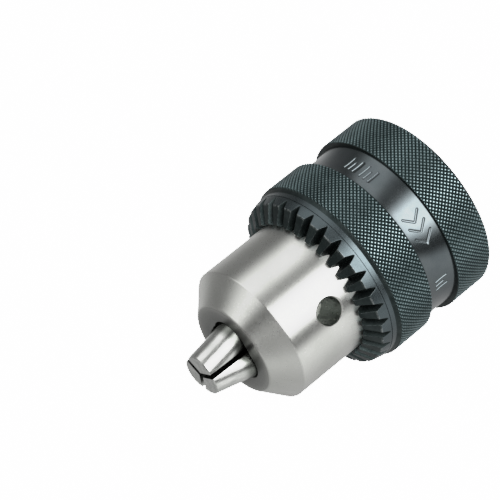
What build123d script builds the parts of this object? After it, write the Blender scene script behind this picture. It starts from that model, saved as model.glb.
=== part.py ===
from build123d import *
import os
from math import cos, radians, sin, tan

# Keyed three-jaw drill chuck, up to 10 mm shank, 46 mm sleeve.
# Millimetres. +Z runs along the spin axis towards the jaws, and the origin is at
# the centre of the flat rear face. Jaw 1 lies over +X. The jaws stand slightly open.

os.makedirs("parts", exist_ok=True)

# --- Jaws -----------------------------------------------------------------------
JAW_COUNT = 3
JAW_ANGLE = 14.0             # each jaw's axis leans in towards the spin axis
JAW_R = 4.0
JAW_OPEN_AT_REST = 0.7       # gripping edges stand this far off the spin axis
JAW_TIP_Z = 68.8
JAW_TIP_AXIS_R = 1.1         # the jaw's own axis is this far out at the tip
JAW_BACK_Z = 23.6            # back end, on the jaw's own axis
JAW_TIP_BEVEL = 0.2
JAW_BACK_CHAMFER = 0.8
JAW_WEDGE_HALF_ANGLE = 60.0
JAW_WEDGE_REACH = 30.0       # longer than any jaw is wide

# --- Conical thread between the split nut and the jaws ----------------------------
THREAD_PITCH = 1.5           # measured along a jaw
GROOVE_DEPTH = 0.65
GROOVE_FLOOR_HALF = 0.30
GROOVE_MOUTH_HALF = 0.58
GROOVE_MOUTH_LIFT = 0.5
GROOVED_FRONT_Z = 49.0       # forward end of the threaded stretch of a jaw
RIDGE_DEPTH = 0.45
RIDGE_CREST_HALF = 0.16
RIDGE_FOOT_HALF = 0.36
RIDGE_FOOT_LIFT = 0.3
NUT_BORE_CLEARANCE = 0.15

# --- Body -------------------------------------------------------------------------
NOSE_R = 17.0
NOSE_END_Z = 53.6
FACE_Z = 59.1
FACE_R = 11.5
NOSE_EDGE_FILLET = 0.4
FACE_EDGE_FILLET = 1.0
TOOL_BORE_R = 5.15
TOOL_BORE_FLOOR_Z = 19.2
TOOL_BORE_MOUTH_R = 6.6
TOOL_BORE_MOUTH_Z = 54.0     # the tool bore flares from here to the face
JAW_BORE_CLEARANCE = 0.1
JAW_BORE_FLOOR_Z = 6.0
JAW_MOUTH_START_Z = 57.6
JAW_MOUTH_END_Z = 60.1
JAW_MOUTH_R = 6.0
SOCKET_R = 5.75              # tapping size of a 1/2-20 UNF spindle thread
SOCKET_DEPTH = 16.2
SOCKET_CHAMFER = 0.85
SCREW_HOLE_R = 3.3
REAR_FLANGE_R = 20.8
REAR_FLANGE_T = 5.0
REAR_FLANGE_CHAMFER = 0.5
WAIST_R = 16.5
THRUST_FLANGE_R = 19.9
THRUST_FLANGE_BACK_Z = 16.6
THRUST_FLANGE_Z = 22.0
RACE_SEAT_R = 17.3
NUT_GROOVE_R = 13.5
NUT_GROOVE_BACK_Z = 25.8
NUT_GROOVE_FRONT_Z = 31.6

# --- Key holes --------------------------------------------------------------------
KEY_HOLE_Z = 42.0
KEY_HOLE_R = 3.3
KEY_HOLE_MOUTH_R = 3.65
KEY_HOLE_DEPTH = 9.5
KEY_HOLE_AZIMUTH = 60.0      # midway between two jaws

# --- Split nut --------------------------------------------------------------------
NUT_R = 20.0
NUT_BACK_Z = 26.0
NUT_FRONT_Z = 31.4
NUT_CHAMFER = 0.4

# --- Thrust bearing ---------------------------------------------------------------
BALL_COUNT = 24
BALL_R = 1.0
BALL_RING_R = 18.6
BALL_RING_Z = 23.9
BALL_TRACK_R = 1.03
RACE_INNER_R = 17.35
RACE_OUTER_R = 19.85
REAR_RACE_FRONT_Z = 23.1
FRONT_RACE_BACK_Z = 24.7
CAGE_T = 0.8
CAGE_INNER_R = 17.4
CAGE_OUTER_R = 19.8
CAGE_POCKET_R = 1.06

# --- Sleeve -----------------------------------------------------------------------
SLEEVE_BACK_Z = 0.6
REAR_KNURL_R = 23.0
REAR_KNURL_END_Z = 11.4
REAR_EDGE_CHAMFER = 0.8
KNURL_EDGE_CHAMFER = 0.2
BAND_EDGE_R = 21.95
BAND_WAIST_R = 21.5
FRONT_KNURL_R = 23.0
FRONT_KNURL_Z = 19.1
FRONT_KNURL_BACK_CHAMFER = 0.7
FRONT_KNURL_END_Z = 30.25
FRONT_KNURL_BEVEL_W = 0.95
LAND_BACK_R = 22.2
LAND_FRONT_R = 22.15
LAND_FRONT_Z = 31.9
CREST_OUTER_R = 21.65
CREST_OUTER_Z = 34.0
CREST_INNER_R = 17.8
CREST_INNER_Z = 36.4
SLEEVE_REAR_BORE_R = 20.9
SLEEVE_NUT_BORE_R = 20.0
SLEEVE_STEP_Z = 16.4
SLEEVE_FRONT_BORE_R = 17.08
SLEEVE_BORE_EDGE_Z = 35.7
SLEEVE_BACK_BORE_CHAMFER = 0.3

# --- Gear teeth on the sleeve's front face -----------------------------------------
TOOTH_COUNT = 32
TOOTH_PHASE = 3.3            # azimuth of the first gap
GAP_OUTER_R = 23.4           # the gap's two end sections, clear of the blank
GAP_INNER_R = 16.4
GAP_OUTER_ROOT_Z = 31.42
GAP_ROOT_SLOPE = 0.44
GAP_HEIGHT = 5.0
GAP_OUTER_ROOT_HALF = 0.28
GAP_OUTER_FLANK_ANGLE = 24.0
GAP_INNER_ROOT_HALF = 0.22
GAP_INNER_FLANK_ANGLE = 19.0

LEAN = radians(JAW_ANGLE)
SPIN_UP = (0, 0, 1)


def azimuth_vector(azimuth):
    """Unit vector that points outwards at an azimuth in degrees."""
    return Vector(cos(radians(azimuth)), sin(radians(azimuth)), 0)


def jaw_azimuth(index):
    return index * 360 / JAW_COUNT


def jaw_axis_r(z):
    """How far a jaw's own axis is from the spin axis at height z."""
    return JAW_TIP_AXIS_R + (JAW_TIP_Z - z) * tan(LEAN)


def jaw_outer_r(z):
    """How far the outermost line of a jaw is from the spin axis at height z."""
    return jaw_axis_r(z) + JAW_R / cos(LEAN)


def jaw_forward(azimuth):
    return azimuth_vector(azimuth) * -sin(LEAN) + Vector(0, 0, cos(LEAN))


def jaw_plane(azimuth, z):
    """Plane square to a jaw's own axis, through the point of that axis at height z."""
    outward = azimuth_vector(azimuth)
    origin = outward * jaw_axis_r(z) + Vector(0, 0, z)
    sideways = Vector(*SPIN_UP).cross(outward)
    return Plane(origin=origin, x_dir=sideways, z_dir=jaw_forward(azimuth))


def radial_plane(azimuth, shift=Vector(0, 0, 0)):
    """Plane through the spin axis whose local x is radius and local y is height."""
    outward = azimuth_vector(azimuth)
    return Plane(origin=shift, x_dir=outward, z_dir=outward.cross(Vector(*SPIN_UP)))


def along_jaw(z, forward, lift):
    """Radius and height of a point beside a jaw's outermost line.

    forward is measured along that line from height z, and lift away from the jaw.
    """
    radius = jaw_outer_r(z) - forward * sin(LEAN) + lift * cos(LEAN)
    height = z + forward * cos(LEAN) + lift * sin(LEAN)
    return radius, height


def save(piece):
    export_step(piece.part, f"parts/{piece.part.label}.step")


# --- Body ---------------------------------------------------------------------------

def body_outline():
    return [
        (SOCKET_R + SOCKET_CHAMFER, 0),
        (REAR_FLANGE_R - REAR_FLANGE_CHAMFER, 0),
        (REAR_FLANGE_R, REAR_FLANGE_CHAMFER),
        (REAR_FLANGE_R, REAR_FLANGE_T),
        (WAIST_R, REAR_FLANGE_T),
        (WAIST_R, THRUST_FLANGE_BACK_Z),
        (THRUST_FLANGE_R, THRUST_FLANGE_BACK_Z),
        (THRUST_FLANGE_R, THRUST_FLANGE_Z),
        (RACE_SEAT_R, THRUST_FLANGE_Z),
        (RACE_SEAT_R, NUT_GROOVE_BACK_Z),
        (NUT_GROOVE_R, NUT_GROOVE_BACK_Z),
        (NUT_GROOVE_R, NUT_GROOVE_FRONT_Z),
        (NOSE_R, NUT_GROOVE_FRONT_Z),
        (NOSE_R, NOSE_END_Z),
        (FACE_R, FACE_Z),
        (TOOL_BORE_MOUTH_R, FACE_Z),
        (TOOL_BORE_R, TOOL_BORE_MOUTH_Z),
        (TOOL_BORE_R, TOOL_BORE_FLOOR_Z),
        (SCREW_HOLE_R, TOOL_BORE_FLOOR_Z),
        (SCREW_HOLE_R, SOCKET_DEPTH),
        (SOCKET_R, SOCKET_DEPTH),
        (SOCKET_R, SOCKET_CHAMFER),
    ]


with BuildPart() as body:
    with BuildSketch(Plane.XZ) as body_profile:
        with BuildLine():
            Polyline(*body_outline(), close=True)
        make_face()
        for corner_place, corner_fillet in (
            ((NOSE_R, NOSE_END_Z), NOSE_EDGE_FILLET),
            ((FACE_R, FACE_Z), FACE_EDGE_FILLET),
        ):
            nearest = body_profile.vertices().sort_by_distance(corner_place)[0]
            fillet(nearest, radius=corner_fillet)
    revolve(axis=Axis.Z)
    for jaw_index in range(JAW_COUNT):
        jaw_side = jaw_azimuth(jaw_index)
        with BuildSketch(jaw_plane(jaw_side, JAW_BORE_FLOOR_Z)):
            Circle(JAW_R + JAW_BORE_CLEARANCE)
        extrude(amount=(FACE_Z - JAW_BORE_FLOOR_Z) / cos(LEAN) + JAW_R, mode=Mode.SUBTRACT)
        with BuildSketch(jaw_plane(jaw_side, JAW_MOUTH_START_Z)):
            Circle(JAW_R + JAW_BORE_CLEARANCE)
        with BuildSketch(jaw_plane(jaw_side, JAW_MOUTH_END_Z)):
            Circle(JAW_MOUTH_R)
        loft(mode=Mode.SUBTRACT)
        key_outward = azimuth_vector(jaw_side + KEY_HOLE_AZIMUTH)
        key_mouth = key_outward * NOSE_R + Vector(0, 0, KEY_HOLE_Z)
        with Locations(Plane(origin=key_mouth, x_dir=SPIN_UP, z_dir=key_outward)):
            CounterSinkHole(KEY_HOLE_R, KEY_HOLE_MOUTH_R, KEY_HOLE_DEPTH, 90)
body.part.label = "body"
save(body)


# --- Jaws ---------------------------------------------------------------------------

def thread_height(azimuth):
    """Height of the nut's first ridge at an azimuth: it climbs one pitch a turn."""
    return NUT_BACK_Z + THREAD_PITCH * cos(LEAN) * azimuth / 360


def groove_outline(z):
    return [
        along_jaw(z, -GROOVE_FLOOR_HALF, -GROOVE_DEPTH),
        along_jaw(z, GROOVE_FLOOR_HALF, -GROOVE_DEPTH),
        along_jaw(z, GROOVE_MOUTH_HALF, GROOVE_MOUTH_LIFT),
        along_jaw(z, -GROOVE_MOUTH_HALF, GROOVE_MOUTH_LIFT),
    ]


def groove_steps(first_z):
    """Whole pitches from the first ridge that land on the threaded stretch of a jaw."""
    axial_pitch = THREAD_PITCH * cos(LEAN)
    lowest = int((JAW_BACK_Z - first_z) / axial_pitch) - 1
    highest = int((GROOVED_FRONT_Z - first_z) / axial_pitch)
    return range(lowest, highest + 1)


def make_jaw(index):
    azimuth = jaw_azimuth(index)
    outward = azimuth_vector(azimuth)
    first_z = thread_height(azimuth)
    jaw_length = (JAW_TIP_Z - JAW_BACK_Z) / cos(LEAN) + JAW_R
    wedge_x = JAW_WEDGE_REACH * cos(radians(JAW_WEDGE_HALF_ANGLE))
    wedge_y = JAW_WEDGE_REACH * sin(radians(JAW_WEDGE_HALF_ANGLE))
    with BuildPart() as jaw:
        with BuildSketch(jaw_plane(azimuth, JAW_BACK_Z)):
            Circle(JAW_R)
        extrude(amount=jaw_length)
        chamfer(jaw.edges().sort_by(Axis.Z)[0], JAW_BACK_CHAMFER)
        with BuildSketch(Plane(origin=(0, 0, 0), x_dir=outward, z_dir=SPIN_UP)):
            with BuildLine():
                Polyline(
                    (JAW_OPEN_AT_REST, 0),
                    (JAW_OPEN_AT_REST + wedge_x, -wedge_y),
                    (JAW_WEDGE_REACH, -wedge_y),
                    (JAW_WEDGE_REACH, wedge_y),
                    (JAW_OPEN_AT_REST + wedge_x, wedge_y),
                    close=True,
                )
            make_face()
        extrude(amount=JAW_TIP_Z, mode=Mode.INTERSECT)
        tip_rim = jaw.faces().sort_by(Axis.Z)[-1].edges().filter_by(GeomType.LINE, reverse=True)
        chamfer(tip_rim, JAW_TIP_BEVEL)
        for step in groove_steps(first_z):
            shift = jaw_forward(azimuth) * (step * THREAD_PITCH)
            with BuildSketch(radial_plane(azimuth, shift)):
                with BuildLine():
                    Polyline(*groove_outline(first_z), close=True)
                make_face()
            revolve(axis=Axis(shift, SPIN_UP), mode=Mode.SUBTRACT)
    jaw.part.label = f"jaw_{index + 1}"
    return jaw


for jaw_number in range(JAW_COUNT):
    save(make_jaw(jaw_number))


# --- Split nut ------------------------------------------------------------------------

def nut_blank_outline():
    return [
        along_jaw(NUT_BACK_Z, 0, NUT_BORE_CLEARANCE)[:1] + (NUT_BACK_Z,),
        (NUT_R - NUT_CHAMFER, NUT_BACK_Z),
        (NUT_R, NUT_BACK_Z + NUT_CHAMFER),
        (NUT_R, NUT_FRONT_Z - NUT_CHAMFER),
        (NUT_R - NUT_CHAMFER, NUT_FRONT_Z),
        along_jaw(NUT_FRONT_Z, 0, NUT_BORE_CLEARANCE)[:1] + (NUT_FRONT_Z,),
    ]


def ridge_outline(z):
    return [
        along_jaw(z, -RIDGE_CREST_HALF, -RIDGE_DEPTH),
        along_jaw(z, RIDGE_CREST_HALF, -RIDGE_DEPTH),
        along_jaw(z, RIDGE_FOOT_HALF, RIDGE_FOOT_LIFT),
        along_jaw(z, -RIDGE_FOOT_HALF, RIDGE_FOOT_LIFT),
    ]


def make_nut_half(label, kept_side):
    axial_pitch = THREAD_PITCH * cos(LEAN)
    start_z = thread_height(0) - axial_pitch
    ridge_rise = NUT_FRONT_Z - NUT_BACK_Z + 2 * axial_pitch
    with BuildPart() as nut:
        with BuildLine():
            ridge_path = Helix(
                pitch=THREAD_PITCH,
                height=ridge_rise,
                radius=jaw_outer_r(start_z),
                center=(0, 0, start_z),
                cone_angle=-JAW_ANGLE,
            )
        with BuildSketch(Plane.XZ):
            with BuildLine():
                Polyline(*ridge_outline(start_z), close=True)
            make_face()
        sweep(path=ridge_path, is_frenet=True)
        with BuildSketch(Plane.XY.offset(NUT_BACK_Z)):
            Circle(NUT_R - NUT_CHAMFER)
        extrude(amount=NUT_FRONT_Z - NUT_BACK_Z, mode=Mode.INTERSECT)
        with BuildSketch(Plane.XZ):
            with BuildLine():
                Polyline(*nut_blank_outline(), close=True)
            make_face()
        revolve(axis=Axis.Z)
        split(bisect_by=Plane.XZ, keep=kept_side)
    nut.part.label = label
    return nut


save(make_nut_half("nut_half_a", Keep.TOP))
save(make_nut_half("nut_half_b", Keep.BOTTOM))


# --- Thrust bearing ---------------------------------------------------------------------

def make_race(label, back_z, front_z):
    """Flat bearing ring with the balls' track turned into it."""
    with BuildPart() as race:
        with BuildSketch(Plane.XZ):
            with BuildLine():
                Polyline(
                    (RACE_INNER_R, back_z),
                    (RACE_OUTER_R, back_z),
                    (RACE_OUTER_R, front_z),
                    (RACE_INNER_R, front_z),
                    close=True,
                )
            make_face()
            with Locations((BALL_RING_R, BALL_RING_Z)):
                Circle(BALL_TRACK_R, mode=Mode.SUBTRACT)
        revolve(axis=Axis.Z)
    race.part.label = label
    return race


save(make_race("rear_race", THRUST_FLANGE_Z, REAR_RACE_FRONT_Z))
save(make_race("front_race", FRONT_RACE_BACK_Z, NUT_BACK_Z))

with BuildPart() as ball_cage:
    with BuildSketch(Plane.XY.offset(BALL_RING_Z - CAGE_T / 2)):
        Circle(CAGE_OUTER_R)
        Circle(CAGE_INNER_R, mode=Mode.SUBTRACT)
        with PolarLocations(BALL_RING_R, BALL_COUNT):
            Circle(CAGE_POCKET_R, mode=Mode.SUBTRACT)
    extrude(amount=CAGE_T)
ball_cage.part.label = "ball_cage"
save(ball_cage)

for ball_index in range(BALL_COUNT):
    ball_place = azimuth_vector(ball_index * 360 / BALL_COUNT) * BALL_RING_R
    with BuildPart() as ball:
        with Locations(ball_place + Vector(0, 0, BALL_RING_Z)):
            Sphere(BALL_R)
    ball.part.label = f"ball_{ball_index + 1:02d}"
    save(ball)


# --- Sleeve -------------------------------------------------------------------------------

def gap_section(radius, root_half, flank_angle):
    """Section of a tooth gap at one radius, as sideways and height pairs."""
    root_z = GAP_OUTER_ROOT_Z + (GAP_OUTER_R - radius) * GAP_ROOT_SLOPE
    top_half = root_half + GAP_HEIGHT * tan(radians(flank_angle))
    return [
        (-root_half, root_z),
        (root_half, root_z),
        (top_half, root_z + GAP_HEIGHT),
        (-top_half, root_z + GAP_HEIGHT),
    ]


def tooth_end_plane(radius):
    """Plane that faces +X at one radius, with local x sideways and local y up."""
    return Plane(origin=(radius, 0, 0), x_dir=(0, 1, 0), z_dir=(1, 0, 0))


with BuildPart() as tooth_gap:
    for end_r, end_root, end_flank in (
        (GAP_INNER_R, GAP_INNER_ROOT_HALF, GAP_INNER_FLANK_ANGLE),
        (GAP_OUTER_R, GAP_OUTER_ROOT_HALF, GAP_OUTER_FLANK_ANGLE),
    ):
        with BuildSketch(tooth_end_plane(end_r)):
            with BuildLine():
                Polyline(*gap_section(end_r, end_root, end_flank), close=True)
            make_face()
    loft(ruled=True)

with BuildPart() as sleeve:
    with BuildSketch(Plane.XZ):
        with BuildLine():
            Polyline(
                (BAND_EDGE_R, REAR_KNURL_END_Z),
                (REAR_KNURL_R - KNURL_EDGE_CHAMFER, REAR_KNURL_END_Z),
                (REAR_KNURL_R, REAR_KNURL_END_Z - KNURL_EDGE_CHAMFER),
                (REAR_KNURL_R, SLEEVE_BACK_Z + REAR_EDGE_CHAMFER),
                (REAR_KNURL_R - REAR_EDGE_CHAMFER, SLEEVE_BACK_Z),
                (SLEEVE_REAR_BORE_R + SLEEVE_BACK_BORE_CHAMFER, SLEEVE_BACK_Z),
                (SLEEVE_REAR_BORE_R, SLEEVE_BACK_Z + SLEEVE_BACK_BORE_CHAMFER),
                (SLEEVE_REAR_BORE_R, SLEEVE_STEP_Z),
                (SLEEVE_NUT_BORE_R, SLEEVE_STEP_Z),
                (SLEEVE_NUT_BORE_R, NUT_FRONT_Z),
                (SLEEVE_FRONT_BORE_R, NUT_FRONT_Z),
                (SLEEVE_FRONT_BORE_R, SLEEVE_BORE_EDGE_Z),
                (CREST_INNER_R, CREST_INNER_Z),
                (CREST_OUTER_R, CREST_OUTER_Z),
                (LAND_FRONT_R, LAND_FRONT_Z),
                (LAND_BACK_R, FRONT_KNURL_END_Z),
                (FRONT_KNURL_R, FRONT_KNURL_END_Z - FRONT_KNURL_BEVEL_W),
                (FRONT_KNURL_R, FRONT_KNURL_Z + FRONT_KNURL_BACK_CHAMFER),
                (BAND_EDGE_R, FRONT_KNURL_Z),
            )
            ThreePointArc(
                (BAND_EDGE_R, FRONT_KNURL_Z),
                (BAND_WAIST_R, (FRONT_KNURL_Z + REAR_KNURL_END_Z) / 2),
                (BAND_EDGE_R, REAR_KNURL_END_Z),
            )
        make_face()
    revolve(axis=Axis.Z)
    with PolarLocations(0, TOOTH_COUNT, start_angle=TOOTH_PHASE):
        add(tooth_gap.part, mode=Mode.SUBTRACT)
sleeve.part.label = "sleeve"
save(sleeve)
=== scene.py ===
from math import cos, radians, sin, sqrt, tan

import bpy
import numpy as np
from mathutils import Matrix, Vector


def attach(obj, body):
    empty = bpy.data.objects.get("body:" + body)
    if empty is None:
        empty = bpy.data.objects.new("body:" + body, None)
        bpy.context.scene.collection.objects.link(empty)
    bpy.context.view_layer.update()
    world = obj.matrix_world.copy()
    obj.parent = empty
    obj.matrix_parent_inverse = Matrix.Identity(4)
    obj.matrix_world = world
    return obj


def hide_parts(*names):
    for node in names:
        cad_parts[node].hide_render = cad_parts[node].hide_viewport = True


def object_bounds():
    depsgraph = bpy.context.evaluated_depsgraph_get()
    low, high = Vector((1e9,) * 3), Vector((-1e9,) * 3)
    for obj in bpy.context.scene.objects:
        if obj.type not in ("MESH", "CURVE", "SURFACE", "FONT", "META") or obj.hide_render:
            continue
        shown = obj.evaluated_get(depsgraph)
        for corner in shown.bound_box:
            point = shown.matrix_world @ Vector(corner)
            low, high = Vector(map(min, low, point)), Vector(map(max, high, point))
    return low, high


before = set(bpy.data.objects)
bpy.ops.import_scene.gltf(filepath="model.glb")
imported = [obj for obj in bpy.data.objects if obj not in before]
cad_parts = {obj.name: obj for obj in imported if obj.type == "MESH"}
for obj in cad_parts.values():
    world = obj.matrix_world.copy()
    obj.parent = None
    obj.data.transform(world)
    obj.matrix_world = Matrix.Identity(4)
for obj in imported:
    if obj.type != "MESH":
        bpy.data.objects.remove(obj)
cad_low, cad_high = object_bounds()

MM = 0.001
TURN = 2 * np.pi
scene = bpy.context.scene
scene.view_settings.view_transform = "Standard"

# Film curve: straight up to a light grey, then a long shoulder for bright reflections.
FILM_WHITE = 8.0
FILM_CURVE = (
    (0.0, 0.0), (0.70, 0.70), (0.95, 0.80), (1.6, 0.845), (3.0, 0.875), (5.6, 0.985), (8.0, 1.0),
)
film = scene.view_settings
film.use_curve_mapping = True
film.curve_mapping.white_level = (FILM_WHITE, FILM_WHITE, FILM_WHITE)
film_points = film.curve_mapping.curves[3].points
while len(film_points) < len(FILM_CURVE):
    film_points.new(0.5, 0.5)
for film_point, (film_in, film_out) in zip(film_points, FILM_CURVE):
    film_point.location = (film_in / FILM_WHITE, film_out)
    film_point.handle_type = "VECTOR"
film.curve_mapping.update()

# --- Sleeve sizes, in millimetres and degrees, as in the part ---------------------
SLEEVE_BACK_Z = 0.6
REAR_KNURL_R = 23.0
REAR_KNURL_END_Z = 11.4
REAR_EDGE_CHAMFER = 0.8
KNURL_EDGE_CHAMFER = 0.2
BAND_EDGE_R = 21.95
BAND_WAIST_R = 21.5
FRONT_KNURL_R = 23.0
FRONT_KNURL_Z = 19.1
FRONT_KNURL_BACK_CHAMFER = 0.7
FRONT_KNURL_END_Z = 30.25
FRONT_KNURL_BEVEL_W = 0.95
LAND_BACK_R = 22.2
LAND_FRONT_R = 22.15
LAND_FRONT_Z = 31.9
CREST_OUTER_R = 21.65
CREST_OUTER_Z = 34.0
CREST_INNER_R = 17.8
CREST_INNER_Z = 36.4
SLEEVE_REAR_BORE_R = 20.9
SLEEVE_NUT_BORE_R = 20.0
SLEEVE_STEP_Z = 16.4
SLEEVE_FRONT_BORE_R = 17.08
SLEEVE_BORE_EDGE_Z = 35.7
SLEEVE_BACK_BORE_CHAMFER = 0.3
NUT_FRONT_Z = 31.4

TOOTH_COUNT = 32
TOOTH_PHASE = radians(3.3)
GAP_INNER_R = 16.4
GAP_OUTER_R = 23.4
GAP_OUTER_ROOT_Z = 31.42
GAP_ROOT_SLOPE = 0.44
GAP_ROOT_HALF = (0.22, 0.28)          # at the inner and the outer radius
GAP_FLANK_ANGLE = (19.0, 24.0)


# --- Mesh helpers -----------------------------------------------------------------

def make_object(name, vertices, faces, materials, sharp_angle=None):
    """An object from points in millimetres; smooth up to sharp_angle, if it is given."""
    mesh = bpy.data.meshes.new(name)
    mesh.from_pydata((np.asarray(vertices) * MM).tolist(), [], faces)
    mesh.validate()
    for material in materials:
        mesh.materials.append(material)
    made = bpy.data.objects.new(name, mesh)
    scene.collection.objects.link(made)
    if sharp_angle is not None:
        mesh.shade_smooth()
        mesh.set_sharp_from_angle(angle=radians(sharp_angle))
    return made


def ring_faces(rows, columns, flips=None):
    """Faces of a grid of points that closes on itself both ways.

    With flips, each square is cut into two triangles along one diagonal or the other.
    """
    faces = []
    for i in range(rows):
        low = i * columns
        high = ((i + 1) % rows) * columns
        for j in range(columns):
            k = (j + 1) % columns
            a, b, c, d = low + j, low + k, high + k, high + j
            if flips is None:
                faces.append((a, b, c, d))
            elif flips[i][j]:
                faces.append((a, b, d))
                faces.append((b, c, d))
            else:
                faces.append((a, b, c))
                faces.append((a, c, d))
    return faces


def around(rows_r, rows_z, angles):
    """Points from the radius and height of each row, at each angle."""
    r = np.asarray(rows_r, float)
    z = np.asarray(rows_z, float)
    if r.ndim == 1:
        r = np.repeat(r[:, None], len(angles), 1)
        z = np.repeat(z[:, None], len(angles), 1)
    return np.stack([r * np.cos(angles), r * np.sin(angles), z], -1)


def outline_around(outline, angles):
    return around([r for r, _ in outline], [z for _, z in outline], angles)


def rounded(points, radii, steps=4):
    """The outline with its inner corners turned into arcs, where a radius is given."""
    out = [points[0]]
    for before, corner, after, radius in zip(points, points[1:], points[2:], radii):
        if radius <= 0:
            out.append(corner)
            continue
        c = Vector(corner)
        u = (Vector(before) - c).normalized()
        v = (Vector(after) - c).normalized()
        half = u.angle(v) / 2
        reach = radius / tan(half)
        centre = c + (u + v).normalized() * (radius / sin(half))
        start = c + u * reach - centre
        end = c + v * reach - centre
        for s in range(steps + 1):
            arm = start.lerp(end, s / steps).normalized() * radius
            out.append(tuple(centre + arm))
    out.append(points[-1])
    return out


def add_attribute(obj, name, values):
    """A number at each point of the mesh, which a material reads by name."""
    layer = obj.data.attributes.new(name, "FLOAT", "POINT")
    layer.data.foreach_set("value", values.ravel())


# --- Shader graphs ----------------------------------------------------------------

class Graph:
    """The nodes of one material or world, with a short call for each kind used here."""

    def __init__(self, tree):
        self.nodes = tree.nodes
        self.links = tree.links

    def add(self, kind, **settings):
        node = self.nodes.new(kind)
        for name, value in settings.items():
            setattr(node, name, value)
        return node

    def put(self, socket, value):
        """Link the socket to another node's output, or set its number or colour."""
        if isinstance(value, bpy.types.NodeSocket):
            self.links.new(value, socket)
        elif socket.type == "RGBA":
            socket.default_value = (*value, 1)
        else:
            socket.default_value = value

    def place(self, scale=(1, 1, 1)):
        """Position on the object in metres, stretched by scale."""
        coord = self.add("ShaderNodeTexCoord")
        mapping = self.add("ShaderNodeMapping")
        self.put(mapping.inputs["Scale"], scale)
        self.put(mapping.inputs["Vector"], coord.outputs["Object"])
        return mapping.outputs["Vector"]

    def from_axis(self):
        """The part of a position that is square to the spin axis, and the height, in metres."""
        coord = self.add("ShaderNodeTexCoord")
        split = self.add("ShaderNodeSeparateXYZ")
        self.put(split.inputs[0], coord.outputs["Object"])
        square = self.add("ShaderNodeCombineXYZ")
        self.put(square.inputs["X"], split.outputs["X"])
        self.put(square.inputs["Y"], split.outputs["Y"])
        return square.outputs[0], split.outputs["Z"]

    def radius_and_height(self):
        """Distance from the spin axis and height, in millimetres."""
        square, height = self.from_axis()
        length = self.add("ShaderNodeVectorMath", operation="LENGTH")
        self.put(length.inputs[0], square)
        return self.product(length.outputs["Value"], 1 / MM), self.product(height, 1 / MM)

    def maths(self, operation, first, second):
        node = self.add("ShaderNodeMath", operation=operation)
        self.put(node.inputs[0], first)
        self.put(node.inputs[1], second)
        return node.outputs[0]

    def product(self, first, second):
        return self.maths("MULTIPLY", first, second)

    def noise(self, vector, scale, detail, rough):
        """Cloudy noise, round 0.5: its scale, how many finer layers, how strong they are."""
        node = self.add("ShaderNodeTexNoise")
        self.put(node.inputs["Scale"], scale)
        self.put(node.inputs["Detail"], detail)
        self.put(node.inputs["Roughness"], rough)
        self.put(node.inputs["Vector"], vector)
        return node.outputs["Fac"]

    def ramp(self, share, stops):
        """Grey level or colour read off the stops, each a place from 0 to 1 and a value."""
        node = self.add("ShaderNodeValToRGB")
        elements = node.color_ramp.elements
        while len(elements) < len(stops):
            elements.new(0.5)
        for element, (position, value) in zip(elements, stops):
            colour = value if isinstance(value, tuple) else (value, value, value)
            element.position = position
            element.color = (*colour, 1)
        self.put(node.inputs["Fac"], share)
        return node.outputs["Color"]

    def steps_up(self, value, start, end):
        """0 at start, 1 at end, smooth between. start may be the larger."""
        node = self.add("ShaderNodeMapRange", interpolation_type="SMOOTHSTEP")
        self.put(node.inputs["From Min"], start)
        self.put(node.inputs["From Max"], end)
        self.put(node.inputs["Value"], value)
        return node.outputs["Result"]

    def mixed(self, mode, share, first, second):
        node = self.add("ShaderNodeMix", data_type="RGBA", blend_type=mode)
        self.put(node.inputs["Factor"], share)
        self.put(node.inputs["A"], first)
        self.put(node.inputs["B"], second)
        return node.outputs["Result"]

    def blend(self, share, first, second):
        """Colour that goes from first to second as share goes from 0 to 1."""
        return self.mixed("MIX", share, first, second)

    def bump(self, height, strength, distance, below=None):
        """Surface direction of a relief as deep as distance, in metres.

        It is laid over the one below, if that is given.
        """
        node = self.add("ShaderNodeBump")
        self.put(node.inputs["Strength"], strength)
        self.put(node.inputs["Distance"], distance)
        self.put(node.inputs["Height"], height)
        if below is not None:
            self.put(node.inputs["Normal"], below)
        return node.outputs["Normal"]

    def attribute(self, name):
        return self.add("ShaderNodeAttribute", attribute_name=name).outputs["Fac"]


def new_material(name, metallic=1.0):
    material = bpy.data.materials.new(name)
    material.use_nodes = True
    graph = Graph(material.node_tree)
    shader = graph.nodes["Principled BSDF"]
    shader.inputs["Metallic"].default_value = metallic
    return material, graph, shader


# --- Turned steel of the body -----------------------------------------------------

TURNED_TINTS = [(0.3, (0.60, 0.61, 0.58)), (0.7, (0.66, 0.665, 0.64))]
# Painted shade: the key holes' walls are coloured dark for the shade inside them.
HOLE_WALL_PAINTED_SHADE = (0.17, 0.19, 0.175)
# Painted light: the key holes' floors are coloured bright for the light that they reflect.
HOLE_FLOOR_PAINTED_LIGHT = (0.88, 0.89, 0.86)
HOLE_FLOOR_ROUGH = (0.90, 0.90, 0.90)
# Painted shade: the deep mouth round the jaws is coloured nearly black.
MOUTH_PAINTED_SHADE = (0.05, 0.055, 0.05)
# Painted shade on the nose's face by the jaws.
FACE_PAINTED_SHADE = (0.10, 0.105, 0.10)

# Zones of the body, in millimetres: where each starts, and where it is at its full.
KEY_HOLES_BACK_Z = (36.0, 37.0)
KEY_HOLES_FRONT_Z = (51.5, 50.5)
HOLE_WALL_R = (16.72, 16.40)
HOLE_FLOOR_R = (8.45, 8.25)
MOUTH_R = (8.9, 8.5)
MOUTH_BACK_Z = (50.0, 52.0)
MOUTH_FRONT_Z = (59.05, 58.90)
FACE_Z = (58.98, 59.08)

# Share of painted shade on the nose's face, by radius over FACE_SPAN: it is deepest by the jaws.
FACE_SPAN = 20.0
FACE_SHADE = [(0.40, 0.85), (0.50, 0.70), (0.56, 0.45), (0.585, 0.0)]


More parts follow.
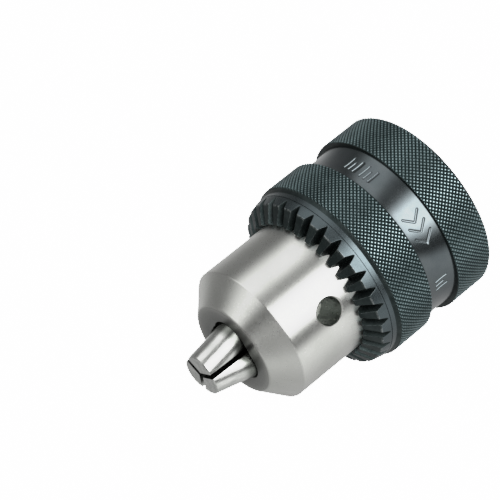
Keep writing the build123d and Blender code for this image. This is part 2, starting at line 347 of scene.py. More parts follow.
def turned_steel():
    """Lathe-turned steel: fine rings round the axis, with painted shade on its key holes' walls, in
    its mouth and on its face by the jaws, and painted light on the key holes' floors.
    """
    material, graph, shader = new_material("turned_steel")
    shader.inputs["Anisotropic"].default_value = 0.75
    shader.inputs["Anisotropic Rotation"].default_value = 0.25
    tangent = graph.add("ShaderNodeTangent", direction_type="RADIAL", axis="Z")
    graph.put(shader.inputs["Tangent"], tangent.outputs[0])
    radius, height = graph.radius_and_height()

    cloud = graph.noise(graph.place(), 160.0, 4.0, 0.6)
    colour = graph.ramp(cloud, TURNED_TINTS)
    by_key_holes = graph.product(
        graph.steps_up(height, *KEY_HOLES_BACK_Z), graph.steps_up(height, *KEY_HOLES_FRONT_Z)
    )
    # Painted shade on the key holes' walls.
    wall = graph.product(graph.steps_up(radius, *HOLE_WALL_R), by_key_holes)
    colour = graph.blend(wall, colour, HOLE_WALL_PAINTED_SHADE)
    # Painted light on the key holes' floors, which are also made rougher.
    painted_floor_light = graph.product(graph.steps_up(radius, *HOLE_FLOOR_R), by_key_holes)
    colour = graph.blend(painted_floor_light, colour, HOLE_FLOOR_PAINTED_LIGHT)
    by_mouth = graph.product(
        graph.steps_up(height, *MOUTH_BACK_Z), graph.steps_up(height, *MOUTH_FRONT_Z)
    )
    # Painted shade in the mouth round the jaws.
    mouth = graph.product(graph.steps_up(radius, *MOUTH_R), by_mouth)
    colour = graph.blend(mouth, colour, MOUTH_PAINTED_SHADE)
    # Painted shade on the nose's face, deepest by the jaws.
    painted_face_shade = graph.ramp(graph.product(radius, 1 / FACE_SPAN), FACE_SHADE)
    painted_face_shade = graph.product(graph.steps_up(height, *FACE_Z), painted_face_shade)
    graph.put(shader.inputs["Base Color"], graph.blend(painted_face_shade, colour, FACE_PAINTED_SHADE))

    grain = graph.noise(graph.place(), 2600.0, 2.0, 0.5)
    rough = graph.ramp(grain, [(0.3, 0.27), (0.7, 0.35)])
    rough = graph.blend(painted_floor_light, rough, HOLE_FLOOR_ROUGH)
    graph.put(shader.inputs["Roughness"], rough)

    rings = graph.add("ShaderNodeCombineXYZ")
    graph.put(rings.inputs["X"], radius)
    graph.put(rings.inputs["Z"], height)
    lines = graph.noise(rings.outputs[0], 9.0, 2.0, 0.6)
    graph.put(shader.inputs["Normal"], graph.bump(lines, 0.12, 0.00002))
    return material


# --- Ground steel of the jaws -----------------------------------------------------

GROUND_TINTS = [(0.3, (0.46, 0.475, 0.455)), (0.65, (0.70, 0.705, 0.685))]
JAW_ROOT_Z = (0.0622, 0.0600)         # metres: painted shade starts here, and is at its full here
JAW_ROOT_SHADE_SHARE = 0.85
# Painted shade: the jaws darken towards the mouth, where the nose's shade and dark reflection fall on
# them.
JAW_ROOT_PAINTED_SHADE = (0.11, 0.12, 0.105)
# Painted shade on the jaws' faces that look at the axis, in the narrow gaps between the jaws.
JAW_INNER_PAINTED_SHADE = (0.07, 0.075, 0.07)
FACING_AXIS = (-0.05, -0.25)          # cosine between the surface and the way outward


def faces_axis(graph):
    """1 on a surface that looks at the spin axis, 0 on one that looks away from it."""
    square, _ = graph.from_axis()
    outward = graph.add("ShaderNodeVectorMath", operation="NORMALIZE")
    graph.put(outward.inputs[0], square)
    facing = graph.add("ShaderNodeVectorMath", operation="DOT_PRODUCT")
    graph.put(facing.inputs[0], outward.outputs["Vector"])
    graph.put(facing.inputs[1], graph.add("ShaderNodeTexCoord").outputs["Normal"])
    return graph.steps_up(facing.outputs["Value"], *FACING_AXIS)


def ground_steel():
    """Ground jaws: streaks along their length, fine pits, and painted shade by the mouth and on the
    faces that look at the axis.
    """
    material, graph, shader = new_material("jaw_ground_steel")
    cloud = graph.noise(graph.place((900, 900, 240)), 1.0, 4.0, 0.65)
    colour = graph.ramp(cloud, GROUND_TINTS)
    _, height = graph.from_axis()
    # Painted shade on the jaws towards the mouth.
    root = graph.product(graph.steps_up(height, *JAW_ROOT_Z), JAW_ROOT_SHADE_SHARE)
    colour = graph.blend(root, colour, JAW_ROOT_PAINTED_SHADE)
    # Painted shade between the jaws.
    colour = graph.blend(faces_axis(graph), colour, JAW_INNER_PAINTED_SHADE)
    graph.put(shader.inputs["Base Color"], colour)

    streaks = graph.noise(graph.place((3500, 3500, 160)), 1.0, 3.0, 0.6)
    graph.put(shader.inputs["Roughness"], graph.ramp(streaks, [(0.3, 0.18), (0.75, 0.32)]))
    pits = graph.noise(graph.place(), 1500.0, 3.0, 0.6)
    relief = graph.bump(pits, 0.10, 0.00003, graph.bump(streaks, 0.20, 0.00003))
    graph.put(shader.inputs["Normal"], relief)
    return material


# --- Blackened steel of the sleeve ------------------------------------------------

BARE_STEEL = (0.30, 0.33, 0.33)

# Colour and roughness of the knurl, from its crests at 0 to its grooves at 1. The crests are rubbed
# towards bare steel; the grooves are coloured darker than the oxide itself, which is painted shade.
KNURL_TINTS = [
    (0.0, (0.240, 0.315, 0.325)), (0.12, (0.210, 0.280, 0.290)),
    (0.45, (0.056, 0.084, 0.086)), (1.0, (0.017, 0.028, 0.029)),
]
KNURL_ROUGHS = [(0.0, 0.26), (0.3, 0.34), (1.0, 0.55)]


def blackened_steel(name, low, high, rough_low, rough_high, grain_strength):
    """Black oxide, chipped down to bare steel where the mesh's wear says so."""
    material, graph, shader = new_material(name)
    coord = graph.place()
    cloud = graph.noise(coord, 220.0, 4.0, 0.6)
    colour = graph.ramp(cloud, [(0.3, low), (0.7, high)])
    chips = graph.ramp(graph.noise(coord, 1300.0, 3.0, 0.6), [(0.42, 0.0), (0.60, 1.0)])
    bare = graph.product(graph.attribute("wear"), chips)
    graph.put(shader.inputs["Base Color"], graph.blend(bare, colour, BARE_STEEL))
    grain = graph.noise(coord, 3000.0, 3.0, 0.55)
    rough = graph.ramp(grain, [(0.3, rough_low), (0.7, rough_high)])
    graph.put(shader.inputs["Roughness"], rough)
    graph.put(shader.inputs["Normal"], graph.bump(grain, grain_strength, 0.00004))
    return material


def knurled_black():
    """Blackened steel whose crests are rubbed brighter and whose grooves are darkened with painted
    shade.
    """
    material, graph, shader = new_material("blackened_knurl")
    depth = graph.attribute("groove")
    coord = graph.place()
    cloud = graph.noise(coord, 400.0, 4.0, 0.6)
    uneven = graph.ramp(cloud, [(0.3, 0.80), (0.7, 1.15)])
    # Crests rubbed towards bare steel; grooves darker than the oxide, which is painted shade.
    colour = graph.mixed("MULTIPLY", 1.0, graph.ramp(depth, KNURL_TINTS), uneven)
    graph.put(shader.inputs["Base Color"], colour)
    graph.put(shader.inputs["Roughness"], graph.ramp(depth, KNURL_ROUGHS))
    grain = graph.noise(coord, 3000.0, 3.0, 0.55)
    graph.put(shader.inputs["Normal"], graph.bump(grain, 0.12, 0.00004))
    return material


def plain_metal(name, low, high, rough_low, rough_high):
    """Metal of a hidden piece: one cloudy tint."""
    material, graph, shader = new_material(name)
    cloud = graph.noise(graph.place(), 500.0, 4.0, 0.6)
    graph.put(shader.inputs["Base Color"], graph.ramp(cloud, [(0.3, low), (0.7, high)]))
    rough = graph.ramp(cloud, [(0.3, rough_low), (0.7, rough_high)])
    graph.put(shader.inputs["Roughness"], rough)
    graph.put(shader.inputs["Normal"], graph.bump(cloud, 0.1, 0.00003))
    return material


BODY_STEEL = turned_steel()
JAW_STEEL = ground_steel()
SMOOTH_BLACK = blackened_steel(
    "blackened_smooth", (0.096, 0.114, 0.121), (0.122, 0.140, 0.146), 0.14, 0.20, 0.03
)
KNURL_BLACK = knurled_black()
TOOTH_BLACK = blackened_steel(
    "blackened_teeth", (0.074, 0.094, 0.100), (0.096, 0.118, 0.126), 0.24, 0.34, 0.15
)
# Rougher black, darker than the oxide elsewhere: painted shade for the tooth gaps, the crest, the
# knurls' shoulders and the inside faces.
SHADED_DULL_BLACK = blackened_steel(
    "blackened_dull_painted_shade", (0.022, 0.031, 0.031), (0.056, 0.072, 0.072), 0.36, 0.50, 0.20
)
NUT_STEEL = plain_metal(
    "nut_phosphated", (0.16, 0.16, 0.15), (0.22, 0.22, 0.205), 0.45, 0.6
)
BEARING_STEEL = plain_metal(
    "bearing_polished", (0.68, 0.68, 0.67), (0.76, 0.76, 0.75), 0.10, 0.18
)
CAGE_BRASS = plain_metal(
    "cage_brass_sheet", (0.62, 0.44, 0.18), (0.70, 0.51, 0.23), 0.25, 0.38
)

# Material of each CAD node, by how its name starts. The longest match is used.
NODE_MATERIALS = {
    "body": BODY_STEEL,
    "jaw": JAW_STEEL,
    "nut": NUT_STEEL,
    "rear_race": BEARING_STEEL,
    "front_race": BEARING_STEEL,
    "ball_cage": CAGE_BRASS,
    "ball": BEARING_STEEL,
    "sleeve": SMOOTH_BLACK,
}


def dress(node_name, node):
    start = max((s for s in NODE_MATERIALS if node_name.startswith(s)), key=len)
    for slot in node.material_slots:
        slot.material = NODE_MATERIALS[start]


for node_name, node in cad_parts.items():
    dress(node_name, node)


# --- Knurled rings of the sleeve --------------------------------------------------

KNURL_COUNT = 128
KNURL_RISE = 1.10                     # height of one diamond
KNURL_STEPS = 6                       # mesh columns across one diamond
KNURL_PLACES = (0.0, 1 / 6, 1 / 3, 1 / 2)            # from a diamond's middle to its edge
KNURL_DEPTHS = (0.0, -0.018, -0.13, -0.26)
EDGE_CLEARANCE = 0.2                  # share of a row left free at each end of the knurl
ROW_SLACK = 1e-6                      # so that a row exactly at the shoulder takes the black of painted shade


def knurl_height(angles, z, first_z):
    """How far the surface stands back from the crest at each angle and height."""
    a = angles * KNURL_COUNT / TURN
    b = (z - first_z) / KNURL_RISE
    from_a = np.abs(a - np.round(a))
    from_b = np.abs(b - np.round(b))
    from_middle = np.minimum(from_a + from_b, 1 - from_a - from_b)
    return np.interp(from_middle, KNURL_PLACES, KNURL_DEPTHS)


def knurl_flips(z_rows, rows, angles, first_z):
    """Which way each square is cut, so that the cuts follow the diamonds' edges."""
    columns = len(angles)
    a = (angles + TURN / columns / 2) * KNURL_COUNT / TURN
    right_of_middle = a - np.round(a) > 0
    flips = []
    for z, next_z in zip(z_rows, z_rows[1:]):
        b = ((z + next_z) / 2 - first_z) / KNURL_RISE
        above_middle = b - np.round(b) > 0
        flips.append((right_of_middle == above_middle).tolist())
    flips += [[False] * columns] * (rows - len(flips))
    return flips


def knurled_ring(name, crest_outline, inner_outline, first_z, shoulder_z):
    """A closed ring whose outside follows crest_outline, less the knurl's depth.

    first_z is the height of one row of diamonds. Above shoulder_z is the turned
    shoulder, which cuts the knurl off and takes the rougher, darker black of painted shade.
    """
    crest_r, crest_z = np.array(crest_outline).T
    step = KNURL_RISE / KNURL_STEPS
    first = int(np.ceil((crest_z[0] - first_z) / step + EDGE_CLEARANCE))
    last = int(np.floor((crest_z[-1] - first_z) / step - EDGE_CLEARANCE))
    steps = [first_z + k * step for k in range(first, last + 1)]
    z_rows = np.array([crest_z[0], *steps, crest_z[-1]])
    limit = np.interp(z_rows, crest_z, crest_r)

    columns = KNURL_COUNT * KNURL_STEPS
    angles = np.arange(columns) * TURN / columns
    grid_z = np.repeat(z_rows[:, None], columns, 1)
    grid_a = np.repeat(angles[None, :], len(z_rows), 0)
    crest = np.repeat(limit[:, None], columns, 1)
    drop = knurl_height(grid_a, grid_z, first_z)
    cut_off = np.minimum(crest_r.max() + drop, crest)
    grid_r = np.where(grid_z > shoulder_z, cut_off, crest + drop)
    grid_r[0] = limit[0]
    grid_r[-1] = limit[-1]

    inside = outline_around(inner_outline, angles)
    points = np.concatenate([around(grid_r, grid_z, angles), inside])
    rows = len(points)
    faces = ring_faces(rows, columns, knurl_flips(z_rows, rows, angles, first_z))
    ring = make_object(name, points.reshape(-1, 3), faces, [KNURL_BLACK, SHADED_DULL_BLACK])

    groove = np.ones((rows, columns))
    groove[1 : len(z_rows) - 1] = drop[1:-1] / min(KNURL_DEPTHS)
    add_attribute(ring, "groove", groove)
    # The shoulder and the inside take the black of painted shade.
    shaded_dull_rows = np.ones(rows, int)
    shaded_dull_rows[: len(z_rows) - 1] = z_rows[:-1] > shoulder_z - ROW_SLACK
    triangles_per_row = 2 * columns
    ring.data.polygons.foreach_set("material_index", np.repeat(shaded_dull_rows, triangles_per_row))
    return ring


front_knurl = knurled_ring(
    "sleeve_front_knurl",
    [
        (BAND_EDGE_R, FRONT_KNURL_Z),
        (FRONT_KNURL_R, FRONT_KNURL_Z + FRONT_KNURL_BACK_CHAMFER),
        (FRONT_KNURL_R, FRONT_KNURL_END_Z - FRONT_KNURL_BEVEL_W),
        (LAND_BACK_R, FRONT_KNURL_END_Z),
    ],
    [(SLEEVE_NUT_BORE_R, FRONT_KNURL_END_Z), (SLEEVE_NUT_BORE_R, FRONT_KNURL_Z)],
    first_z=19.45,
    shoulder_z=29.35,
)
rear_knurl = knurled_ring(
    "sleeve_rear_knurl",
    [
        (REAR_KNURL_R - REAR_EDGE_CHAMFER, SLEEVE_BACK_Z),
        (REAR_KNURL_R, SLEEVE_BACK_Z + REAR_EDGE_CHAMFER),
        (REAR_KNURL_R, REAR_KNURL_END_Z - KNURL_EDGE_CHAMFER),
        (REAR_KNURL_R - KNURL_EDGE_CHAMFER, REAR_KNURL_END_Z),
    ],
    [
        (SLEEVE_REAR_BORE_R, REAR_KNURL_END_Z),
        (SLEEVE_REAR_BORE_R, SLEEVE_BACK_Z + SLEEVE_BACK_BORE_CHAMFER),
        (SLEEVE_REAR_BORE_R + SLEEVE_BACK_BORE_CHAMFER, SLEEVE_BACK_Z),
    ],
    first_z=1.05,
    shoulder_z=11.15,
)


# --- Smooth band with its engraved marks ------------------------------------------

BAND_MIDDLE_Z = (REAR_KNURL_END_Z + FRONT_KNURL_Z) / 2
BAND_ROWS = 71
BAND_FINE_STEP = 0.2                  # degrees between columns, where it is engraved
BAND_STEP = 1.0                       # degrees, elsewhere
BAND_FINE_MARGIN = 1.2                # degrees to each side of a mark

# Groups of three upright strokes, the middle one shorter, and three chevrons: the
# azimuth in degrees at which each starts, and heights and widths.
TICK_STARTS = (131.0, 118.5, 33.0)
TICK_PITCH = 3.4                      # degrees
TICK_FEET_Z = (13.6, 14.6, 13.6)
TICK_TOP_Z = 16.9
CHEVRON_STARTS = (80.0, 73.0, 66.0)
CHEVRON_REACH = 5.5                   # degrees
CHEVRON_HALF_HEIGHT = 2.25
STROKE_HALF = 0.17
STROKE_EDGE = 0.09
STROKE_DEPTH = 0.16
FAR_FROM_STROKES = 9.0


def band_radius(z):
    """Radius of the hollow band at height z: an arc through its two edges and waist."""
    half = (FRONT_KNURL_Z - REAR_KNURL_END_Z) / 2
    sag = BAND_EDGE_R - BAND_WAIST_R
    arc = (half ** 2 + sag ** 2) / (2 * sag)
    return BAND_WAIST_R + arc - np.sqrt(arc ** 2 - (z - BAND_MIDDLE_Z) ** 2)


def band_strokes():
    """The azimuth and height of both ends of each stroke."""
    strokes = []
    for start in TICK_STARTS:
        for i, foot_z in enumerate(TICK_FEET_Z):
            azimuth = start - i * TICK_PITCH
            strokes.append(((azimuth, foot_z), (azimuth, TICK_TOP_Z)))
    for start in CHEVRON_STARTS:
        tip = (start - CHEVRON_REACH, BAND_MIDDLE_Z)
        for side in (-1, 1):
            strokes.append(((start, BAND_MIDDLE_Z + side * CHEVRON_HALF_HEIGHT), tip))
    return strokes


BAND_STROKES = band_strokes()


def stroke_depth(angles, z):
    """Depth of the engraved marks at each angle and height."""
    azimuth = np.degrees(angles)
    nearest = np.full(azimuth.shape, FAR_FROM_STROKES)
    per_degree = BAND_WAIST_R * TURN / 360
    for (a0, z0), (a1, z1) in BAND_STROKES:
        px, pz = (azimuth - a0) * per_degree, z - z0
        dx, dz = (a1 - a0) * per_degree, z1 - z0
        t = np.clip((px * dx + pz * dz) / (dx * dx + dz * dz), 0, 1)
        nearest = np.minimum(nearest, np.hypot(px - t * dx, pz - t * dz))
    share = np.clip((STROKE_HALF + STROKE_EDGE - nearest) / STROKE_EDGE, 0, 1)
    return STROKE_DEPTH * share


def is_engraved(azimuth):
    for (a0, _), (a1, _) in BAND_STROKES:
        near_end = min(abs(azimuth - a0), abs(azimuth - a1)) < BAND_FINE_MARGIN
        if near_end or min(a0, a1) < azimuth < max(a0, a1):
            return True
    return False


def band_angles():
    """Columns of the band: fine where it is engraved, coarser elsewhere."""
    degrees = [0.0]
    while degrees[-1] < 360:
        here = degrees[-1]
        degrees.append(here + (BAND_FINE_STEP if is_engraved(here) else BAND_STEP))
    return np.radians(np.array(degrees[:-1]))


def make_band():
    angles = band_angles()
    z_rows = np.linspace(REAR_KNURL_END_Z, FRONT_KNURL_Z, BAND_ROWS)
    grid_z = np.repeat(z_rows[:, None], len(angles), 1)
    grid_a = np.repeat(angles[None, :], len(z_rows), 0)
    outside = around(band_radius(grid_z) - stroke_depth(grid_a, grid_z), grid_z, angles)
    bore = [
        (SLEEVE_NUT_BORE_R, FRONT_KNURL_Z), (SLEEVE_NUT_BORE_R, SLEEVE_STEP_Z),
        (SLEEVE_REAR_BORE_R, SLEEVE_STEP_Z), (SLEEVE_REAR_BORE_R, REAR_KNURL_END_Z),
    ]
    points = np.concatenate([outside, outline_around(bore, angles)])
    faces = ring_faces(len(points), len(angles))
    return make_object("sleeve_band", points.reshape(-1, 3), faces, [SMOOTH_BLACK], 40)


band = make_band()


# --- Toothed crown of the sleeve --------------------------------------------------

# The groove scribed round the land: its edges, its floor and the land behind it.
SCRIBE_BACK_Z, SCRIBE_FRONT_Z = 31.46, 31.76
SCRIBE_FLOOR_R = 22.05
SCRIBE_FLOOR_Z = (31.52, 31.70)
LAND_BY_SCRIBE_R = 22.192

CREST_ROUND = 0.18                    # where the teeth's outer edge meets the land
CREST_FRONT_ROUND = 0.35
ROW_SPACING = 0.14                    # of the mesh, up to the foot of the teeth
TOOTH_ROW_SPACING = 0.4
TOOTH_FOOT_Z = 33.0
TOOTHED_FROM_Z = 31.85

# Columns of half a tooth: places across the flank, round its edge, and over the crest.
FLANK_PLACES = (0.0, 0.12, 0.24, 0.36, 0.48, 0.6, 0.72, 0.84)
RIM_PLACES = (-1.0, -0.6, -0.3, 0.0, 0.3, 0.6, 1.0)
CREST_PLACES = (0.2, 0.5, 0.8, 1.0)
RIM_HALF = 0.075
RIM_SHARE = 0.3                       # of the flank's width, at most
FLANK_MARGIN = 1.2                    # between flank and rim columns, in rim halves
FILL_MARGIN = 1.1                     # the same, for columns that fill a narrow flank
LEAST_GAP_WIDTH = 0.05
TOOTH_EDGE_ROUND = 0.14

# Wear of the same columns: only the middle of the rim is rubbed.
HALF_TOOTH_WEAR = np.concatenate(
    [np.zeros(len(FLANK_PLACES)), (0.0, 0.0, 0.30, 0.55, 0.30, 0.0, 0.0), np.zeros(len(CREST_PLACES))]
)
WORN_FROM_Z = 32.0
CORNER_WEAR_REACH = 0.2
SUNK_DEPTH = 0.06                     # deeper than this below the crest is in a gap
# From here up the crest takes the black of painted shade.
CREST_SHADED_DULL_FROM_Z = 33.95


def gap_figures(r):
    """A tooth gap's root height, its half-width per height, and its root's rounding."""
    t = (r - GAP_INNER_R) / (GAP_OUTER_R - GAP_INNER_R)
    inner_spread, outer_spread = (tan(radians(angle)) for angle in GAP_FLANK_ANGLE)
    inner_half, outer_half = GAP_ROOT_HALF
    root = GAP_OUTER_ROOT_Z + (GAP_OUTER_R - r) * GAP_ROOT_SLOPE
    spread = inner_spread + t * (outer_spread - inner_spread)
    half = inner_half + t * (outer_half - inner_half)
    return root, spread, half / spread


def gap_surface(x, y):
    """Height of a tooth gap's rounded V at a distance out and a distance sideways."""
    root, spread, sink = gap_figures(x)
    return root + np.sqrt((y / spread) ** 2 + sink ** 2) - sink


def smooth_min(a, b, width):
    share = np.maximum(width - np.abs(a - b), 0) / width
    return np.minimum(a, b) - share * share * width / 4


def mirrored(half, sign):
    """One tooth's columns from those of its half. The last is left to the next tooth."""
    return np.concatenate([sign * half[:0:-1], half[:-1]])


def tooth_columns(r, z):
    """Sideways places, from a gap's middle to the tooth's middle, for one row."""
    root, spread, sink = gap_figures(r)
    height = max(z - root, 0.0)
    width = max(spread * sqrt((height + sink) ** 2 - sink ** 2), LEAST_GAP_WIDTH)
    rim_half = min(RIM_HALF, RIM_SHARE * width)
    flank_end = width - rim_half * FLANK_MARGIN
    flank = [width * s for s in FLANK_PLACES if width * s < flank_end]
    while len(flank) < len(FLANK_PLACES):
        flank.append(flank[-1] + (width - rim_half * FILL_MARGIN - flank[-1]) / 2)
    rim = [width + rim_half * s for s in RIM_PLACES]
    rest = r * np.pi / TOOTH_COUNT - rim[-1]
    crest = [rim[-1] + rest * s for s in CREST_PLACES]
    return np.array(flank + rim + crest)


def crown_profile():
    """The crown before its gaps are cut, as closely spaced points."""
    outline = rounded(
        [
            (LAND_BACK_R, FRONT_KNURL_END_Z),
            (LAND_BY_SCRIBE_R, SCRIBE_BACK_Z),
            (SCRIBE_FLOOR_R, SCRIBE_FLOOR_Z[0]), (SCRIBE_FLOOR_R, SCRIBE_FLOOR_Z[1]),
            (LAND_FRONT_R, SCRIBE_FRONT_Z),
            (LAND_FRONT_R, LAND_FRONT_Z),
            (CREST_OUTER_R, CREST_OUTER_Z),
            (CREST_INNER_R, CREST_INNER_Z),
            (SLEEVE_FRONT_BORE_R, SLEEVE_BORE_EDGE_Z),
        ],
        [0, 0, 0, 0, 0, CREST_ROUND, CREST_FRONT_ROUND],
    )
    dense = []
    for (r0, z0), (r1, z1) in zip(outline, outline[1:]):
        spacing = ROW_SPACING if z0 < TOOTH_FOOT_Z else TOOTH_ROW_SPACING
        pieces = max(1, int(np.ceil(np.hypot(r1 - r0, z1 - z0) / spacing)))
        for s in range(pieces):
            dense.append((r0 + (r1 - r0) * s / pieces, z0 + (z1 - z0) * s / pieces))
    return dense + [outline[-1]]


def crown_row(r, z):
    """One row round the crown: its points, and where it is sunk and how worn it is."""
    sideways = mirrored(tooth_columns(r, z), -1)
    alpha = sideways / r
    height = np.full(len(alpha), z)
    if z > TOOTHED_FROM_Z:
        gap = gap_surface(r * np.cos(alpha), r * np.sin(alpha))
        height = smooth_min(height, gap, TOOTH_EDGE_ROUND)
    edge_wear = mirrored(HALF_TOOTH_WEAR, 1) * (z > WORN_FROM_Z)
    on_tooth = z - height < SUNK_DEPTH
    corner_wear = max(0.0, 1 - abs(z - CREST_OUTER_Z) / CORNER_WEAR_REACH)
    wear = np.maximum(edge_wear, corner_wear * on_tooth)
    sunk = (z - height > SUNK_DEPTH) | (z > CREST_SHADED_DULL_FROM_Z)
    teeth = []
    for tooth in range(TOOTH_COUNT):
        turned = alpha + TOOTH_PHASE + tooth * TURN / TOOTH_COUNT
        teeth.append(np.stack([r * np.cos(turned), r * np.sin(turned), height], -1))
    return np.concatenate(teeth), np.tile(sunk, TOOTH_COUNT), np.tile(wear, TOOTH_COUNT)


def make_crown():
    rows, sunk_rows, wear_rows = zip(*(crown_row(r, z) for r, z in crown_profile()))
    columns = len(rows[0])
    angles = np.arctan2(rows[-1][:, 1], rows[-1][:, 0])
    bore = [
        (SLEEVE_FRONT_BORE_R, NUT_FRONT_Z), (SLEEVE_NUT_BORE_R, NUT_FRONT_Z),
        (SLEEVE_NUT_BORE_R, FRONT_KNURL_END_Z),
    ]
    inside = outline_around(bore, angles)
    points = np.concatenate([np.array(rows), inside])
    faces = ring_faces(len(points), columns)
    materials = [TOOTH_BLACK, SHADED_DULL_BLACK]
    ring = make_object("sleeve_crown", points.reshape(-1, 3), faces, materials, 42)
    sunk = np.concatenate([np.array(sunk_rows), np.ones((len(inside), columns), bool)])
    next_row = np.roll(sunk, -1, 0)
    # Faces in the tooth gaps and on the crest take the black of painted shade.
    shaded_dull = sunk & np.roll(sunk, -1, 1) & next_row & np.roll(next_row, -1, 1)
    shaded_dull[-1] = True
    ring.data.polygons.foreach_set("material_index", shaded_dull.ravel().astype(int))
    wear = np.concatenate([np.array(wear_rows), np.zeros((len(inside), columns))])
    add_attribute(ring, "wear", wear)
    return ring


crown = make_crown()

for piece in (front_knurl, rear_knurl, band, crown):
    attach(piece, "sleeve_and_nut")
    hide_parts("sleeve")


# --- Thread in the spindle socket -------------------------------------------------

SPINDLE_PITCH = 1.27
SPINDLE_THREAD_Z = (1.6, 15.2)        # from and to this height
SPINDLE_WALL_R = 5.78                 # a little into the socket's wall
SPINDLE_CREST_R = 5.50
SPINDLE_FOOT_HALF = 0.42
SPINDLE_CREST_HALF = 0.06
SPINDLE_STEPS = 60                    # a turn
SPINDLE_FADE_STEPS = 20               # at each end
SPINDLE_LEAST_RISE = 0.05             # share of the ridge left at its very ends


def make_spindle_thread():
    """One right-handed ridge round the socket's wall, fading out at both ends."""
    low, high = SPINDLE_THREAD_Z
    count = int((high - low) / SPINDLE_PITCH * SPINDLE_STEPS)
    vertices, faces = [], []
    for i in range(count + 1):
        angle = i * TURN / SPINDLE_STEPS
        z = low + i * SPINDLE_PITCH / SPINDLE_STEPS
        rise = min(1.0, i / SPINDLE_FADE_STEPS, (count - i) / SPINDLE_FADE_STEPS)
        rise = max(rise, SPINDLE_LEAST_RISE)
        crest_r = SPINDLE_WALL_R + (SPINDLE_CREST_R - SPINDLE_WALL_R) * rise
        section = (
            (SPINDLE_WALL_R, -SPINDLE_FOOT_HALF), (crest_r, -SPINDLE_CREST_HALF),
            (crest_r, SPINDLE_CREST_HALF), (SPINDLE_WALL_R, SPINDLE_FOOT_HALF),
        )
        for r, dz in section:
            vertices.append((r * cos(angle), r * sin(angle), z + dz))
    corners = len(section)
    for i in range(count):
        a, b = corners * i, corners * (i + 1)
        for j in range(corners):
            k = (j + 1) % corners
            faces.append((a + j, b + j, b + k, a + k))
    faces.append(tuple(range(corners)))
    faces.append(tuple(corners * count + j for j in reversed(range(corners))))
    return make_object("spindle_thread", vertices, faces, [BODY_STEEL], 30)


spindle_thread = make_spindle_thread()
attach(spindle_thread, "chuck_body")


# --- Stage: light, floor and camera -----------------------------------------------

# Brightness of the studio round the object, by compass direction in degrees: level
# with the object, and from high above it.
STUDIO_LOW = [
    (-180, 0.20), (-150, 0.30), (-125, 0.58), (-105, 0.62), (-92, 0.50), (-82, 0.46),
    (-70, 0.54), (-58, 0.56), (-42, 0.62), (-20, 0.85), (2, 1.10), (14, 1.15), (20, 0.60),
    (26, 0.15), (37, 0.15), (44, 0.95), (50, 3.00), (57, 5.80), (86, 5.80), (93, 2.40),
    (100, 0.45), (109, 0.27), (118, 0.52), (125, 1.10), (133, 1.40), (156, 1.32), (163, 0.85),
    (171, 0.34), (180, 0.20),
]
STUDIO_HIGH = [
    (-180, 0.24), (-160, 0.26), (-125, 0.30), (-50, 0.50), (-25, 0.62), (-10, 0.92),
    (-2, 0.72), (18, 0.36), (40, 0.32), (58, 0.45), (78, 0.36), (94, 0.14), (108, 0.08),
    (120, 0.55), (131, 1.45), (158, 1.45), (172, 1.00), (180, 0.60),
]
STUDIO_TOP = 0.10
STUDIO_UNDER = 0.22
STUDIO_BRIGHTEST = 6.0

# Elevations, in degrees, over which one of these gives way to the next.
LOW_TO_HIGH = (-2, 40)
HIGH_TO_TOP = (68, 76)
LOW_TO_UNDER = (-48, -62)


def compass_light(graph, turn, table):
    stops = [((a + 180) / 360, level / STUDIO_BRIGHTEST) for a, level in table]
    return graph.ramp(turn, stops)


def make_world():
    """A soft studio whose light depends only on the direction that it comes from."""
    world = bpy.data.worlds.new("studio")
    scene.world = world
    world.use_nodes = True
    graph = Graph(world.node_tree)
    split = graph.add("ShaderNodeSeparateXYZ")
    graph.put(split.inputs[0], graph.add("ShaderNodeTexCoord").outputs["Generated"])
    compass = graph.maths("ARCTAN2", split.outputs["Y"], split.outputs["X"])
    turn = graph.add("ShaderNodeMapRange")
    graph.put(turn.inputs["From Min"], -np.pi)
    graph.put(turn.inputs["From Max"], np.pi)
    graph.put(turn.inputs["Value"], compass)

    def rises(elevations):
        return graph.steps_up(split.outputs["Z"], *(sin(radians(e)) for e in elevations))

    low = compass_light(graph, turn.outputs["Result"], STUDIO_LOW)
    high = compass_light(graph, turn.outputs["Result"], STUDIO_HIGH)
    light = graph.blend(rises(LOW_TO_HIGH), low, high)
    light = graph.blend(rises(HIGH_TO_TOP), light, (STUDIO_TOP / STUDIO_BRIGHTEST,) * 3)
    light = graph.blend(rises(LOW_TO_UNDER), light, (STUDIO_UNDER / STUDIO_BRIGHTEST,) * 3)
    background = graph.nodes["Background"]
    graph.put(background.inputs["Color"], light)
    graph.put(background.inputs["Strength"], STUDIO_BRIGHTEST)


FLOOR_REACH = 6.0                     # metres
FLOOR_GAP = 0.0002                    # metres below the object
FLOOR_GLOW = 6.5


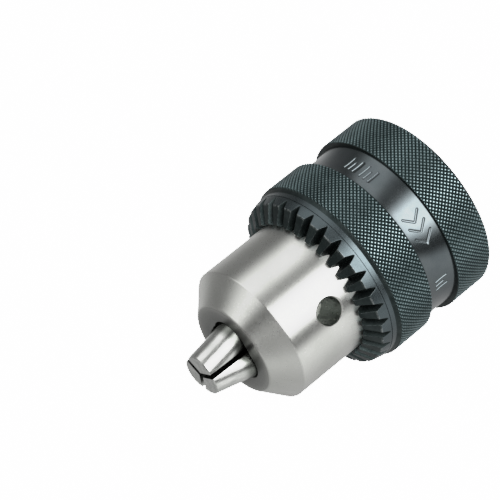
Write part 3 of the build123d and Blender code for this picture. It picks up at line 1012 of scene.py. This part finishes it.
def make_floor():
    """Pale paper, seen only by the camera, so that it adds no light to the metal."""
    mesh = bpy.data.meshes.new("floor")
    corners = [(-1, -1), (1, -1), (1, 1), (-1, 1)]
    vertices = [(x * FLOOR_REACH, y * FLOOR_REACH, 0) for x, y in corners]
    mesh.from_pydata(vertices, [], [(0, 1, 2, 3)])
    floor = bpy.data.objects.new("floor", mesh)
    scene.collection.objects.link(floor)
    floor.location.z = cad_low.z - FLOOR_GAP
    material, graph, shader = new_material("floor_paper", metallic=0.0)
    fibres = graph.noise(graph.place(), 900.0, 3.0, 0.6)
    graph.put(shader.inputs["Base Color"], graph.ramp(fibres, [(0.3, 0.885), (0.7, 0.90)]))
    shader.inputs["Roughness"].default_value = 0.9
    shader.inputs["Emission Color"].default_value = (1, 1, 1, 1)
    shader.inputs["Emission Strength"].default_value = FLOOR_GLOW
    mesh.materials.append(material)
    floor.visible_glossy = False
    floor.visible_diffuse = False
    floor.visible_shadow = False


# The camera's place in metres, and the direction from which it looks, in degrees.
CAMERA_PLACE = Vector((0.06347, 0.57279, 0.28391))
CAMERA_AZIMUTH = 82.201
CAMERA_ELEVATION = 22.847
CAMERA_ROLL = -128.352
CAMERA_LENS = 201.9                   # millimetres, on a 36 mm sensor
CAMERA_SENSOR = 36.0
CAMERA_CLIP = (0.01, 20.0)            # metres


def make_camera():
    """Camera at the photograph's viewing angle. The chuck lies tilted in the picture."""
    azimuth, elevation = radians(CAMERA_AZIMUTH), radians(CAMERA_ELEVATION)
    back = Vector(
        (cos(azimuth) * cos(elevation), sin(azimuth) * cos(elevation), sin(elevation))
    )
    level = Vector((0, 0, 1)).cross(back).normalized()
    above = back.cross(level)
    roll = radians(CAMERA_ROLL)
    right = level * cos(roll) + above * sin(roll)
    up = back.cross(right)
    data = bpy.data.cameras.new("camera")
    camera = bpy.data.objects.new("camera", data)
    scene.collection.objects.link(camera)
    turned = Matrix((right, up, back)).transposed().to_4x4()
    camera.matrix_world = Matrix.Translation(CAMERA_PLACE) @ turned
    data.sensor_width = CAMERA_SENSOR
    data.lens = CAMERA_LENS
    data.clip_start, data.clip_end = CAMERA_CLIP
    scene.camera = camera


make_world()
make_floor()
make_camera()
